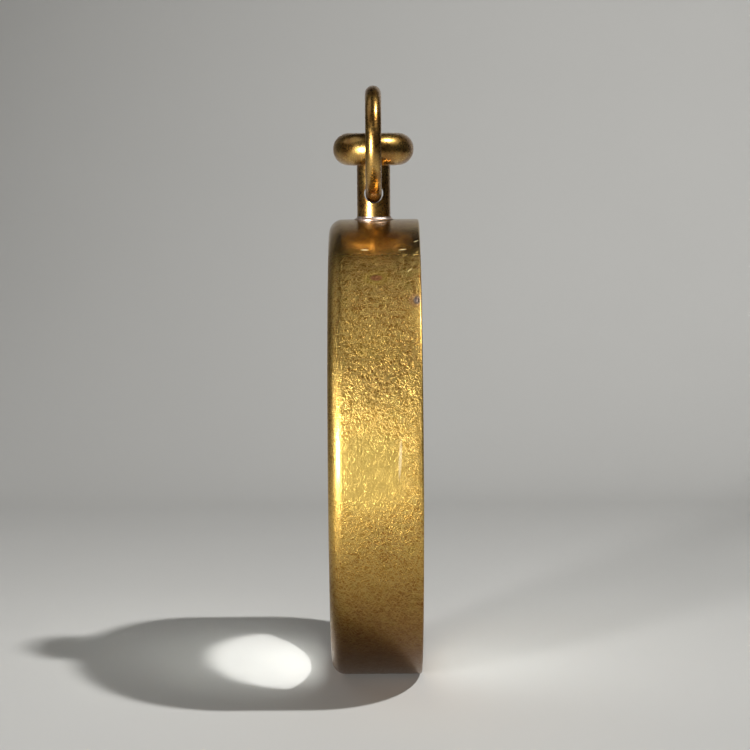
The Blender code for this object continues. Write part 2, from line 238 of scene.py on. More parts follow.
def turning_tree():
    """A lathe: sweeps a profile of edges round a circle and lets its surface waver a little."""
    name = "Turned on the lathe"
    if name in bpy.data.node_groups:
        return bpy.data.node_groups[name]
    tree = bpy.data.node_groups.new(name, "GeometryNodeTree")
    for label, kind in (
        ("Profile", "Geometry"), ("Turning steps", "Int"), ("Hub radius", "Float"),
        ("Tilt", "Vector"), ("Centre", "Vector"), ("Waver", "Float"), ("Waver spacing", "Float"),
        ("Seed", "Int"), ("Merge distance", "Float"), ("Material", "Material"),
    ):
        tree.interface.new_socket(label, in_out="INPUT", socket_type="NodeSocket" + kind)
    tree.interface.new_socket("Piece", in_out="OUTPUT", socket_type="NodeSocketGeometry")
    given = add_node(tree, "NodeGroupInput").outputs
    profile = add_node(tree, "GeometryNodeMeshToCurve", inputs={"Mesh": given["Profile"]})
    circle = add_node(tree, "GeometryNodeCurvePrimitiveCircle",
                      inputs={"Resolution": given["Turning steps"],
                              "Radius": given["Hub radius"]})
    swept = add_node(tree, "GeometryNodeCurveToMesh",
                     inputs={"Curve": circle.outputs["Curve"],
                             "Profile Curve": profile.outputs["Curve"]})
    merged = add_node(tree, "GeometryNodeMergeByDistance",
                      inputs={"Geometry": swept.outputs["Mesh"],
                              "Distance": given["Merge distance"]})
    place = add_node(tree, "GeometryNodeInputPosition")
    per_metre = add_node(tree, "ShaderNodeMath", {"operation": "DIVIDE"},
                         {0: 1.0, 1: given["Waver spacing"]})
    noise = add_node(tree, "ShaderNodeTexNoise", {"noise_dimensions": "4D"},
                     {"Vector": place.outputs["Position"], "W": given["Seed"],
                      "Scale": per_metre.outputs[0], "Detail": 1.5})
    centred = add_node(tree, "ShaderNodeMapRange",
                       inputs={"Value": noise.outputs[0], "From Min": 0.25, "From Max": 0.75,
                               "To Min": -1.0, "To Max": 1.0})
    height = add_node(tree, "ShaderNodeMath", {"operation": "MULTIPLY"},
                      {0: centred.outputs[0], 1: given["Waver"]})
    normal = add_node(tree, "GeometryNodeInputNormal")
    offset = add_node(tree, "ShaderNodeVectorMath", {"operation": "SCALE"},
                      {0: normal.outputs[0], "Scale": height.outputs[0]})
    wavered = add_node(tree, "GeometryNodeSetPosition",
                       inputs={"Geometry": merged.outputs["Geometry"],
                               "Offset": offset.outputs[0]})
    placed = add_node(tree, "GeometryNodeTransform",
                      inputs={"Geometry": wavered.outputs["Geometry"],
                              "Translation": given["Centre"], "Rotation": given["Tilt"]})
    real = add_node(tree, "GeometryNodeRealizeInstances",
                    inputs={"Geometry": placed.outputs["Geometry"]})
    painted = add_node(tree, "GeometryNodeSetMaterial",
                       inputs={"Geometry": real.outputs["Geometry"],
                               "Material": given["Material"]})
    add_node(tree, "NodeGroupOutput", inputs={"Piece": painted.outputs["Geometry"]})
    return tree


# ---- Profiles and pieces ----

def add_object(name, data):
    thing = bpy.data.objects.new(name, data)
    bpy.context.scene.collection.objects.link(thing)
    return thing


def arc(centre, radius, start, end, steps=10):
    """Points on an arc, angles in degrees from +radius towards +height."""
    turns = [math.radians(start + (end - start) * i / steps) for i in range(steps + 1)]
    return [(centre[0] + radius * math.cos(a), centre[1] + radius * math.sin(a)) for a in turns]


def with_extra_points(points, spacing, closed):
    """Cuts a profile's long straight runs, so that its surface has somewhere to waver."""
    ends = points[1:] + points[:1] if closed else points[1:]
    finer = []
    for start, end in zip(points, ends):
        parts = max(1, math.ceil(math.dist(start, end) / spacing))
        for i in range(parts):
            share = i / parts
            finer.append(tuple(a + (b - a) * share for a, b in zip(start, end)))
    if not closed:
        finer.append(points[-1])
    return finer


def profile_object(name, points, closed):
    """Edges through (radius, height) points, as the lathe reads them."""
    vertices = [(radius - HUB_RADIUS, -height, 0.0) for radius, height in points]
    edges = [(i, i + 1) for i in range(len(points) - 1)]
    if closed:
        edges.append((len(points) - 1, 0))
    mesh = bpy.data.meshes.new(name)
    mesh.from_pydata(vertices, edges, [])
    return add_object(name, mesh)


def put_on_lathe(name, points, material=None, centre=DRUM_MIDDLE, tilt=FACING_FRONT, steps=None,
                 closed=True, waver=0.0, waver_spacing=MM, seed=1, run=0.8 * MM):
    """An object whose modifier turns the profile. The result isn't its own mesh yet."""
    thing = profile_object(name, with_extra_points(points, run, closed), closed)
    lathe = thing.modifiers.new("Lathe", "NODES")
    lathe.node_group = turning_tree()
    given = {
        "Turning steps": steps or bpy.context.scene.locket_sizes.turning_steps,
        "Hub radius": HUB_RADIUS,
        "Tilt": tilt,
        "Centre": centre,
        "Waver": waver,
        "Waver spacing": waver_spacing,
        "Seed": seed,
        "Merge distance": MERGE_DISTANCE,
        "Material": material,
    }
    for socket in lathe.node_group.interface.items_tree:
        if given.get(socket.name) is not None:
            lathe[socket.identifier] = given[socket.name]
    return thing


def combine(thing, other, operation):
    """Cuts another object out of a piece, or adds it."""
    step = thing.modifiers.new(operation.title(), "BOOLEAN")
    step.operation = operation
    step.object = other


def finish_piece(thing, material, body, node, helpers=()):
    """Makes the modifiers' result the piece's own mesh, faces outwards, and joins it to its body."""
    bpy.context.view_layer.update()
    graph = bpy.context.evaluated_depsgraph_get()
    mesh = bpy.data.meshes.new_from_object(thing.evaluated_get(graph))
    thing.modifiers.clear()
    work = bmesh.new()
    work.from_mesh(mesh)
    bmesh.ops.remove_doubles(work, verts=work.verts, dist=MERGE_DISTANCE)
    bmesh.ops.recalc_face_normals(work, faces=work.faces)
    work.to_mesh(mesh)
    work.free()
    if not mesh.polygons:
        raise RuntimeError(f"{thing.name} came out empty")
    mesh.shade_smooth()
    mesh.set_sharp_from_angle(angle=SHARP_ANGLE)
    mesh.materials.clear()
    mesh.materials.append(material)
    mesh.polygons.foreach_set("material_index", [0] * len(mesh.polygons))
    thing.data = mesh
    for helper in helpers:
        bpy.data.objects.remove(helper, do_unlink=True)
    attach(thing, body)
    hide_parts(node)
    return thing


def unroll_rim(mesh):
    """UV map in millimetres: U runs across the rim and on over both faces, V runs round it."""
    points = np.empty(len(mesh.vertices) * 3)
    mesh.vertices.foreach_get("co", points)
    points = points.reshape(-1, 3) - np.array(DRUM_MIDDLE)
    centres = np.empty(len(mesh.polygons) * 3)
    mesh.polygons.foreach_get("center", centres)
    centres = centres.reshape(-1, 3) - np.array(DRUM_MIDDLE)
    corners = np.empty(len(mesh.loops), int)
    mesh.loops.foreach_get("vertex_index", corners)
    sizes = np.empty(len(mesh.polygons), int)
    mesh.polygons.foreach_get("loop_total", sizes)
    faces = np.repeat(np.arange(len(sizes)), sizes)
    corner = points[corners]
    turn = np.arctan2(corner[:, 2], -corner[:, 0])
    face_turn = np.arctan2(centres[:, 2], -centres[:, 0])[faces]
    turn = face_turn + (turn - face_turn + np.pi) % (2 * np.pi) - np.pi
    inwards = CASE_RADIUS - np.hypot(corner[:, 0], corner[:, 2])
    across = -corner[:, 1] - np.sign(centres[:, 1][faces]) * inwards
    layer = mesh.uv_layers.new(name=RIM_MAP)
    layer.data.foreach_set("uv", np.stack([across, turn * CASE_RADIUS], 1).ravel() / MM)


def lens_fall(sizes, radius):
    """How far a lens surface falls away from its middle at this radius."""
    return sizes.lens_curve - math.sqrt(sizes.lens_curve ** 2 - radius ** 2)


def drum_piece(name, points, material, body, node, slot, unrolled=True, **lathe):
    """A piece turned about the drum's axis."""
    piece = finish_piece(put_on_lathe(name, points, material, **lathe), material, body, node)
    if unrolled:
        unroll_rim(piece.data)
    return piece


# ---- Materials ----

def new_material(name):
    """A material with an empty tree, and its output and shader."""
    material = bpy.data.materials.new(name)
    material.use_nodes = True
    tree = material.node_tree
    tree.nodes.clear()
    shader = add_node(tree, "ShaderNodeBsdfPrincipled")
    add_node(tree, "ShaderNodeOutputMaterial", inputs={"Surface": shader.outputs[0]})
    return material, tree, shader


def finish_metal(tree, shader, skin, roughness, relief, depth, **others):
    """Gives a bare metal its colour, its roughness and a relief of some depth."""
    bump = add_node(tree, "ShaderNodeBump", inputs={"Distance": depth, "Height": relief})
    set_inputs(tree, shader, {"Metallic": 1.0, "Base Color": skin, "Roughness": roughness,
                              "Normal": bump.outputs[0]})
    set_inputs(tree, shader, {key.replace("_", " "): value for key, value in others.items()})


def show_partly(tree, shader, other, share):
    """Shows another shader in a material's place, where or when the share is 1."""
    either = add_node(tree, "ShaderNodeMixShader",
                      inputs={0: share, 1: shader.outputs[0], 2: other.outputs[0]})
    output = next(n for n in tree.nodes if n.type == "OUTPUT_MATERIAL")
    tree.links.new(either.outputs[0], output.inputs["Surface"])


def millimetres(tree):
    """Object coordinates counted in millimetres."""
    place = add_node(tree, "ShaderNodeTexCoord")
    return add_node(tree, "ShaderNodeMapping",
                    inputs={"Vector": place.outputs["Object"],
                            "Scale": (1 / MM, 1 / MM, 1 / MM)}).outputs[0]


def speckle(tree, vector, grain, low, high, detail=2.0, place=0.0):
    """Noise with the grain in millimetres, stretched so that low and high become 0 and 1."""
    noise = add_node(tree, "ShaderNodeTexNoise", {"noise_dimensions": "4D"},
                     {"Vector": vector, "W": place, "Scale": 1.0 / grain, "Detail": detail})
    return add_node(tree, "ShaderNodeMapRange", {"interpolation_type": "SMOOTHSTEP"},
                    {"Value": noise.outputs[0], "From Min": low, "From Max": high}).outputs[0]


def turning_lines(tree, rim, spacing, length_along, detail, place):
    """Lines that a lathe's tool leaves round the rim, with their spacing in millimetres."""
    drawn = add_node(tree, "ShaderNodeMapping",
                     inputs={"Vector": rim, "Scale": (1 / spacing, 1 / length_along, 1.0)})
    return speckle(tree, drawn.outputs[0], 1.0, 0.30, 0.70, detail, place)


def scratches(tree, vector, angle, width, run, rarity, place):
    """Fine straight scratches that lie one way: noise drawn out along its own line."""
    turned = add_node(tree, "ShaderNodeMapping",
                      inputs={"Vector": vector, "Rotation": (0.0, 0.0, math.radians(angle)),
                              "Location": (place, place * 1.7, 0.0)})
    drawn = add_node(tree, "ShaderNodeVectorMath", {"operation": "DIVIDE"},
                     {0: turned.outputs[0], 1: (width, run, 1.0)})
    return speckle(tree, drawn.outputs[0], 1.0, rarity, rarity + 0.06, 0.0, place)


def worn_spot(tree, rim, across, degrees, half_width, half_length, lean):
    """A soft oval on the rim: millimetres in front of its middle, degrees above the horizontal."""
    round_rim = math.radians(degrees) * CASE_RADIUS / MM
    off = add_node(tree, "ShaderNodeVectorMath", {"operation": "SUBTRACT"},
                   {0: rim, 1: (across, round_rim, 0.0)})
    turned = add_node(tree, "ShaderNodeVectorRotate", {"rotation_type": "Z_AXIS"},
                      {"Vector": off.outputs[0], "Angle": math.radians(lean)})
    sized = add_node(tree, "ShaderNodeVectorMath", {"operation": "DIVIDE"},
                     {0: turned.outputs[0], 1: (half_width, half_length, 1.0)})
    away = add_node(tree, "ShaderNodeVectorMath", {"operation": "LENGTH"},
                    {0: sized.outputs[0]})
    return add_node(tree, "ShaderNodeMapRange", {"interpolation_type": "SMOOTHSTEP"},
                    {"Value": away.outputs["Value"], "From Min": 1.15, "From Max": 0.55}).outputs[0]


def weighed(tree, *products):
    """The sum of products of two factors, each a number or a socket."""
    total = 0.0
    for first, second in products:
        total = add_node(tree, "ShaderNodeMath", {"operation": "MULTIPLY_ADD"},
                         {0: first, 1: second, 2: total}).outputs[0]
    return total


def layered(tree, skin, *layers):
    """Colours laid one over another, each with its mask and its strength in the full mask."""
    for mask, strength, tone in layers:
        share = weighed(tree, (mask, strength))
        skin = add_node(tree, "ShaderNodeMix", {"data_type": "RGBA"},
                        {"Factor": share, 6: skin, 7: tone}).outputs[2]
    return skin


def case_brass(finishes):
    """Yellow brass, turned and filed, carried for years: rubbed gold over brown tarnish.

    To the eye it is a soft, satin metal. Lathe lines run round the rim and spread each
    highlight across it, fine scratches cross them, and tarnish stays in the pits.
    """
    material, tree, shader = new_material("turned_old_brass")
    rim = add_node(tree, "ShaderNodeUVMap", {"uv_map": RIM_MAP}).outputs[0]
    place = millimetres(tree)
    height = add_node(tree, "ShaderNodeSeparateXYZ", inputs={"Vector": place}).outputs["Z"]
    top = DRUM_TOP / MM
    centre = DRUM_MIDDLE.z / MM

    # A thumb has polished one patch at the side almost smooth, and the top shines by the post. That
    # patch is also painted lighter, a painted highlight where the low lamp's band falls.
    buffed_highlit_patch = weighed(tree, (worn_spot(tree, rim, -0.8, 1.0, 4.2, 4.6, 0.0), 0.75))
    smoothed = add_node(tree, "ShaderNodeMapRange", {"interpolation_type": "SMOOTHSTEP"},
                        {"Value": height, "From Min": top - 5.6, "From Max": top - 3.0,
                         "To Max": 0.9})
    smooth = add_node(tree, "ShaderNodeMath", {"operation": "MAXIMUM"},
                      {0: buffed_highlit_patch, 1: smoothed.outputs[0]})
    rough_left = weighed(tree, (smooth.outputs[0], -1.0), (1.0, 1.0))

    # Pits and rubbed grain are 0.1 to 0.3 mm across, blooms of film 1 to 6 mm.
    pits = weighed(tree, (speckle(tree, place, 0.13, 0.56, 0.66, 1.0, 1.0), rough_left))
    grain = weighed(tree, (speckle(tree, place, 0.20, 0.42, 0.58, 3.0, 2.0), rough_left))
    fine = weighed(tree, (speckle(tree, place, 0.13, 0.50, 0.64, 1.0, 22.0), rough_left))
    bloom = speckle(tree, place, 5.0, 0.36, 0.64, 4.0, 3.0)
    greenish = speckle(tree, place, 1.4, 0.50, 0.70, 4.0, 4.0)
    reddish = speckle(tree, place, 0.9, 0.60, 0.74, 3.0, 5.0)

    # Lathe lines stand 0.12 mm apart here; the real ones are finer than can be seen.
    lines = turning_lines(tree, rim, 0.12, 40.0, 2.0, 6.0)

    # Hand scratches are drawn 0.07 to 0.09 mm wide, so that they show, and 1 to 3 mm long.
    marks = 0.0
    for angle, width, run, rarity, number in (
        (24.0, 0.09, 1.2, 0.60, 3.0),
        (-31.0, 0.09, 1.0, 0.60, 11.0),
        (62.0, 0.08, 0.9, 0.575, 23.0),
        (-56.0, 0.08, 0.8, 0.59, 37.0),
        (96.0, 0.07, 2.6, 0.61, 51.0),
    ):
        more = scratches(tree, rim, angle, width, run, rarity, number)
        marks = add_node(tree, "ShaderNodeMath", {"operation": "MAXIMUM"},
                         {0: marks, 1: more}).outputs[0]

    # Fingers rub the rim's sides, and film grows where they seldom reach, near top and bottom.
    off_side = add_node(tree, "ShaderNodeMath", {"operation": "ABSOLUTE"},
                        {0: weighed(tree, (height, 1.0), (centre + 2.0, -1.0))})
    unrubbed = add_node(tree, "ShaderNodeMapRange", {"interpolation_type": "SMOOTHSTEP"},
                        {"Value": off_side.outputs[0], "From Min": 5.0, "From Max": 21.0,
                         "To Max": 0.62}).outputs[0]
    film = weighed(tree, (grain, weighed(tree, (bloom, 0.8), (0.16, 1.0))), (unrubbed, 1.0))
    # Painted glints: bright yellow specks where the rim is rubbed, standing for light caught by fine
    # scratches.
    painted_glints = weighed(tree, (fine, weighed(tree, (unrubbed, -1.0), (1.0, 1.0))))
    # Painted shade: the rim grows darker towards its bottom, which faces the shaded floor under the
    # drum.
    painted_low_shade = add_node(tree, "ShaderNodeMapRange",
                     inputs={"Value": height, "From Min": centre - 3.0,
                             "From Max": centre - 20.5, "To Max": 0.85}).outputs[0]
    skin = layered(
        tree, finishes.brass,
        (film, 1.0, finishes.brass_warm),
        (greenish, 0.4, finishes.brass_green),
        (reddish, 0.5, linear("#8C5526")),
        (pits, 0.5, finishes.tarnish_and_shade),
        (marks, 0.6, linear("#EBCB78")),
        # painted glints
        (painted_glints, 0.7, linear("#EBC468")),
        # painted highlight: the thumb-polished patch in light yellow
        (buffed_highlit_patch, 0.75, linear("#F2D070")),
        # painted shade low on the rim
        (painted_low_shade, 1.0, finishes.tarnish_and_shade),
    )
    dull = add_node(tree, "ShaderNodeMath", {"operation": "MAXIMUM"}, {0: grain, 1: pits})
    rubbed = add_node(tree, "ShaderNodeMapRange",
                      inputs={"Value": dull.outputs[0], "To Min": 0.29, "To Max": 0.38})
    polished = add_node(tree, "ShaderNodeMapRange", {"interpolation_type": "SMOOTHSTEP"},
                        {"Value": height, "From Min": top - 4.0, "From Max": top - 1.4,
                         "To Max": 0.11})
    roughness = weighed(tree, (rubbed.outputs[0], 1.0), (polished.outputs[0], -1.0))
    for across, degrees, half_width, half_length, lean, share, rough, tone in RIM_MARKS:
        spot = worn_spot(tree, rim, across, degrees, half_width, half_length, lean)
        skin = layered(tree, skin, (spot, share, linear(tone)))
        if rough:
            roughness = weighed(tree, (roughness, 1.0), (spot, rough))
    line_depth = weighed(tree, (buffed_highlit_patch, 0.4), (0.15, 1.0))
    relief = weighed(tree, (fine, 1.0), (pits, -0.3), (lines, line_depth), (marks, -0.7))
    along = add_node(tree, "ShaderNodeTangent",
                     {"direction_type": "UV_MAP", "uv_map": RIM_MAP})
    finish_metal(tree, shader, skin, roughness, relief, 0.007 * MM, Anisotropic=0.15,
                 Coat_Weight=0.12, Coat_Roughness=0.10, Tangent=along.outputs[0])
    return material


def handled_brass(name, finishes):
    """Solid brass rod and wire, burnished by fingers and chain: the bow, the post and the crown.

    It is smoother than the rim, so highlights on it are narrow and white, with brown
    tarnish in cloudy spots between them.
    """
    material, tree, shader = new_material(name)
    place = millimetres(tree)

    # Clouds of film are about 1.6 mm across, pits 0.14 mm, grain 0.24 mm.
    clouds = speckle(tree, place, 1.6, 0.36, 0.62, 4.0, 7.0)
    pits = speckle(tree, place, 0.14, 0.54, 0.70, 2.0, 8.0)
    grain = speckle(tree, place, 0.24, 0.42, 0.62, 3.0, 9.0)
    clouds = weighed(tree, (clouds, 0.6), (0.12, 1.0))
    skin = layered(tree, finishes.handled_brass, (clouds, 1.0, finishes.brass_warm),
                   (grain, 0.3, linear("#94672E")), (pits, 0.3, finishes.tarnish_and_shade))
    roughness = weighed(tree, (grain, 0.08), (pits, 0.08), (0.26, 1.0))
    relief = weighed(tree, (grain, 0.5), (pits, -1.0))
    finish_metal(tree, shader, skin, roughness, relief, 0.003 * MM, Coat_Weight=0.35,
                 Coat_Roughness=0.12)
    return material


def inner_brass(name, finishes):
    """Brass rings fresh from the lathe and shut away from hands, with even fine turning lines."""
    material, tree, shader = new_material(name)
    rim = add_node(tree, "ShaderNodeUVMap", {"uv_map": RIM_MAP}).outputs[0]
    place = millimetres(tree)

    # Turning lines 0.1 mm apart, brown spots 0.3 mm and films 2 mm across.
    lines = turning_lines(tree, rim, 0.10, 60.0, 1.0, 12.0)
    film = speckle(tree, place, 2.2, 0.34, 0.76, 5.0, 13.0)
    spots = speckle(tree, place, 0.3, 0.62, 0.76, 3.0, 14.0)
    grain = speckle(tree, place, 0.18, 0.42, 0.60, 2.0, 24.0)
    film = weighed(tree, (film, 0.45), (grain, 0.25))
    skin = layered(tree, finishes.inner_brass, (film, 1.0, finishes.brass_warm),
                   (spots, 0.5, finishes.tarnish_and_shade))
    roughness = weighed(tree, (film, 0.14), (0.26, 1.0))
    along = add_node(tree, "ShaderNodeTangent",
                     {"direction_type": "UV_MAP", "uv_map": RIM_MAP})
    finish_metal(tree, shader, skin, roughness, lines, 0.004 * MM, Anisotropic=0.6,
                 Tangent=along.outputs[0])
    return material


def silver_solder(finishes):
    """Silver solder run round a joint and left as it froze: pale, a little pink, softly lumpy."""
    material, tree, shader = new_material("silver_solder")
    place = millimetres(tree)

    # Lumps 0.4 mm across, brassy bleeding 0.8 mm.
    lumps = speckle(tree, place, 0.4, 0.30, 0.70, 2.0, 15.0)
    bleed = speckle(tree, place, 0.8, 0.45, 0.65, 2.0, 16.0)
    skin = layered(tree, finishes.solder, (bleed, 0.6, finishes.brass_warm))
    roughness = weighed(tree, (lumps, 0.17), (0.38, 1.0))
    finish_metal(tree, shader, skin, roughness, lumps, 0.008 * MM)
    return material


def spring_steel(finishes):
    """Drawn spring wire, grey with faint straw tempering colours and small rust spots."""
    material, tree, shader = new_material("spring_steel_wire")
    place = millimetres(tree)

    # Temper colours change over 6 mm, dust and rust spots are 0.3 mm.
    temper = speckle(tree, place, 6.0, 0.40, 0.65, 1.0, 17.0)
    spots = speckle(tree, place, 0.3, 0.64, 0.76, 2.0, 18.0)
    skin = layered(tree, finishes.steel, (temper, 0.5, linear("#A58F63")),
                   (spots, 0.6, linear("#5B3A22")))
    roughness = weighed(tree, (spots, 0.34), (0.26, 1.0))
    finish_metal(tree, shader, skin, roughness, spots, 0.003 * MM)
    return material


def clear_glass(name, finishes, smear_grain, ground_from, gathers_from):
    """Polished crown glass with a ground edge: clear, with faint finger smears and dust.

    Lamps shine straight through it, as far out as the light that it gathers would fall.
    """
    material, tree, shader = new_material(name)
    place = millimetres(tree)
    smears = speckle(tree, place, smear_grain, 0.45, 0.75, 4.0, 19.0)
    dust = speckle(tree, place, 0.12, 0.74, 0.80, 1.0, 20.0)

    # The ground edge starts at its own radius from the drum's axis.
    from_axis = add_node(tree, "ShaderNodeVectorMath", {"operation": "SUBTRACT"},
                         {0: place, 1: DRUM_MIDDLE / MM})
    flat = add_node(tree, "ShaderNodeVectorMath", {"operation": "MULTIPLY"},
                    {0: from_axis.outputs[0], 1: (1.0, 0.0, 1.0)})
    radius = add_node(tree, "ShaderNodeVectorMath", {"operation": "LENGTH"},
                      {0: flat.outputs[0]}).outputs["Value"]
    ground = add_node(tree, "ShaderNodeMath", {"operation": "GREATER_THAN"},
                      {0: radius, 1: ground_from / MM})
    rough = add_node(tree, "ShaderNodeMath", {"operation": "MAXIMUM"},
                     {0: ground.outputs[0], 1: dust})
    set_inputs(tree, shader, {
        "IOR": 1.52,
        "Transmission Weight": 1.0,
        "Base Color": layered(tree, finishes.glass, (dust, 1.0, linear("#D9DAD4"))),
        "Roughness": weighed(tree, (smears, 0.05), (rough.outputs[0], 0.5)),
    })
    lit = add_node(tree, "ShaderNodeMath", {"operation": "LESS_THAN"},
                   {0: radius, 1: gathers_from / MM})
    gathered = weighed(tree, (lit.outputs[0], GATHERED_LIGHT))
    through = add_node(tree, "ShaderNodeBsdfTransparent", inputs={"Color": gathered})
    ray = add_node(tree, "ShaderNodeLightPath")
    show_partly(tree, shader, through, ray.outputs["Is Shadow Ray"])
    return material


def studio_paper(finishes):
    """Matt grey-white paper, bent up behind the object in one sheet."""
    material, tree, shader = new_material("studio_paper")

    # The paper's own cloudiness, about 40 mm across and hardly visible.
    clouds = speckle(tree, millimetres(tree), 40.0, 0.30, 0.70, 2.0, 21.0)
    tone = layered(tree, finishes.paper, (clouds, 0.08, linear("#BDBCB8")))
    set_inputs(tree, shader, {"Base Color": tone, "Roughness": 0.85, "Specular IOR Level": 0.2})

    # The back of the sheet is clear, so that the object can be looked at from behind it.
    side = add_node(tree, "ShaderNodeNewGeometry")
    clear = add_node(tree, "ShaderNodeBsdfTransparent")
    show_partly(tree, shader, clear, side.outputs["Backfacing"])
    return material


# ---- Operators ----

class LocketOperator(Operator):
    """Shares the options of the operators below."""

    bl_options = {"REGISTER", "UNDO"}


class LOCKET_OT_case(LocketOperator):
    """Build the case: the drum's wall, its rounded back edge, its lip and the nick in front"""

    bl_idname = "locket.build_case"
    bl_label = "Case"

    def execute(self, context):
        sizes = context.scene.locket_sizes
        brass = case_brass(context.scene.locket_finishes)
        front_bore = outer_radius("front_bezel") + sizes.fit_gap
        rear_bore = outer_radius("back_glass") + sizes.fit_gap
        shoulder = front_and_back("front_bezel")[1] - sizes.fit_gap
        lip_front = front_and_back("back_glass")[1] - sizes.fit_gap
        back_window = rear_bore - sizes.back_lip_width
        back_round = sizes.back_edge_radius
        front_round = sizes.front_edge_radius
        front_centre = (CASE_RADIUS - front_round, CASE_FRONT - front_round)
        back_centre = (CASE_RADIUS - back_round, CASE_BACK + back_round)
        bore_break = 0.15 * MM
        points = [
            (front_bore + bore_break, CASE_FRONT),
            *arc(front_centre, front_round, 90.0, 0.0, 5),
            *arc(back_centre, back_round, 0.0, -90.0, 14),
            (back_window + bore_break, CASE_BACK),
            (back_window, CASE_BACK + bore_break),
            (back_window, lip_front),
            (rear_bore, lip_front),
            (rear_bore, shoulder),
            (front_bore, shoulder),
            (front_bore, CASE_FRONT - bore_break),
        ]
        case = put_on_lathe("brass_case", points, brass, waver=sizes.rim_waver,
                            waver_spacing=sizes.rim_waver_spacing, seed=4)
        hole = TENON_RADIUS + JOINT_GAP
        tenon_hole = put_on_lathe(
            "tenon_hole",
            [(0.0, MM), (hole, MM), (hole, -3.0 * MM), (0.0, -3.0 * MM)],
            centre=(0.0, 0.0, DRUM_TOP), tilt=UPRIGHT, steps=64, closed=False)
        nick = self.nick_tool(sizes)
        combine(case, tenon_hole, "DIFFERENCE")
        combine(case, nick, "DIFFERENCE")
        finish_piece(case, brass, "drum", "case_shell", (tenon_hole, nick))
        unroll_rim(case.data)
        return {"FINISHED"}

    def nick_tool(self, sizes):
        """An oval ball that leaves the nick beside the front edge."""
        mesh = bpy.data.meshes.new("nick_tool")
        work = bmesh.new()
        bmesh.ops.create_uvsphere(work, u_segments=20, v_segments=12, radius=1.0)
        turn = math.pi - sizes.nick_angle
        spot = Vector((CASE_RADIUS * math.cos(turn), -(CASE_FRONT - sizes.nick_setback),
                       CASE_RADIUS * math.sin(turn)))
        half = Matrix.Diagonal((0.20 * MM, 0.17 * MM, 0.43 * MM, 1.0))
        lean = Matrix.Rotation(-turn, 4, "Y")
        work.transform(Matrix.Translation(DRUM_MIDDLE + spot) @ lean @ half)
        work.to_mesh(mesh)
        work.free()
        return add_object("nick_tool", mesh)


class LOCKET_OT_inner_rings(LocketOperator):
    """Build the ring on the back glass and the frame that lines the keepsake chamber"""

    bl_idname = "locket.build_inner_rings"
    bl_label = "Inner rings"

    def execute(self, context):
        sizes = context.scene.locket_sizes
        brass = inner_brass("lathe_turned_brass", context.scene.locket_finishes)
        edge = 0.12 * MM
        outside = outer_radius("back_glass_ring")
        front, back = front_and_back("back_glass_ring")
        inside = outside - sizes.back_ring_width
        ring = [
            (inside + edge, front),
            (outside - edge, front),
            (outside, front - edge),
            (outside, back + edge),
            (outside - edge, back),
            (inside + edge, back),
            (inside, back + edge),
            (inside, front - edge),
        ]
        drum_piece("back_glass_retainer", ring, brass, "drum", "back_glass_ring", "brass_inner")
        outside = outer_radius("inner_frame")
        front, back = front_and_back("inner_frame")
        inside = outside - sizes.frame_wall
        flange = outside - sizes.frame_flange
        flange_front = back + sizes.frame_wall
        edge = 0.06 * MM
        sleeve = [
            (inside + edge, front),
            (outside - edge, front),
            (outside, front - edge),
            (outside, back + edge),
            (outside - edge, back),
            (flange + edge, back),
            (flange, back + edge),
            (flange, flange_front - edge),
            (flange + edge, flange_front),
            (inside, flange_front),
            (inside, front - edge),
        ]
        drum_piece("chamber_frame", sleeve, brass, "drum", "inner_frame", "brass_inner")
        return {"FINISHED"}


class LOCKET_OT_bezel(LocketOperator):
    """Build the pull-off bezel and the split wire ring that keeps the lens in it"""

    bl_idname = "locket.build_bezel"
    bl_label = "Bezel and wire ring"

    def execute(self, context):
        sizes = context.scene.locket_sizes
        finishes = context.scene.locket_finishes
        brass = inner_brass("lathe_turned_bezel_brass", finishes)
        outside = outer_radius("front_bezel")
        front, back = front_and_back("front_bezel")
        seat = outside - sizes.bezel_wall
        window = seat - sizes.bezel_lip
        lens_front = front_and_back("front_lens")[0]
        wire_front, wire_back = front_and_back("lens_snap_ring")
        wire_radius = (wire_front - wire_back) / 2
        wire_height = (wire_front + wire_back) / 2
        wire_middle = seat - sizes.fit_gap
        groove_radius = wire_radius + 0.06 * MM
        mouth = math.degrees(math.asin(sizes.fit_gap / groove_radius))
        groove = arc((wire_middle, wire_height), groove_radius, mouth - 90.0, 90.0 - mouth, 14)
        lip_back = lens_front - lens_fall(sizes, window) + sizes.fit_gap
        edge = 0.12 * MM
        points = [
            (window + sizes.bezel_chamfer, front),
            *arc((outside - edge, front - edge), edge, 90.0, 0.0, 4),
            (outside, back + edge),
            (outside - edge, back),
            (seat, back),
            *groove,
            (seat, lip_back),
            (window, lip_back),
            (window, front - sizes.bezel_chamfer),
        ]
        drum_piece("lens_bezel", points, brass, "bezel", "front_bezel", "brass_trim")
        self.build_wire(sizes, finishes, wire_middle, wire_height, wire_radius)
        return {"FINISHED"}

    def build_wire(self, sizes, finishes, ring_radius, height, wire_radius):
        curve = bpy.data.curves.new("lens_wire_ring", "CURVE")
        curve.dimensions = "3D"
        curve.bevel_depth = wire_radius
        curve.bevel_resolution = 6
        curve.use_fill_caps = True
        spline = curve.splines.new("POLY")
        count = 240
        spline.points.add(count - 1)
        for i, point in enumerate(spline.points):
            turn = -math.pi / 2 + sizes.ring_gap / 2
            turn += (2 * math.pi - sizes.ring_gap) * i / (count - 1)
            sideways = ring_radius * math.cos(turn)
            upwards = ring_radius * math.sin(turn)
            spot = DRUM_MIDDLE + Vector((sideways, -height, upwards))
            point.co = (*spot, 1.0)
        wire = add_object("wire_line", curve)
        bpy.context.view_layer.update()
        graph = bpy.context.evaluated_depsgraph_get()
        mesh = bpy.data.meshes.new_from_object(wire.evaluated_get(graph))
        bpy.data.objects.remove(wire, do_unlink=True)
        ring = add_object("lens_wire_ring", mesh)
        finish_piece(ring, spring_steel(finishes), "bezel", "lens_snap_ring")


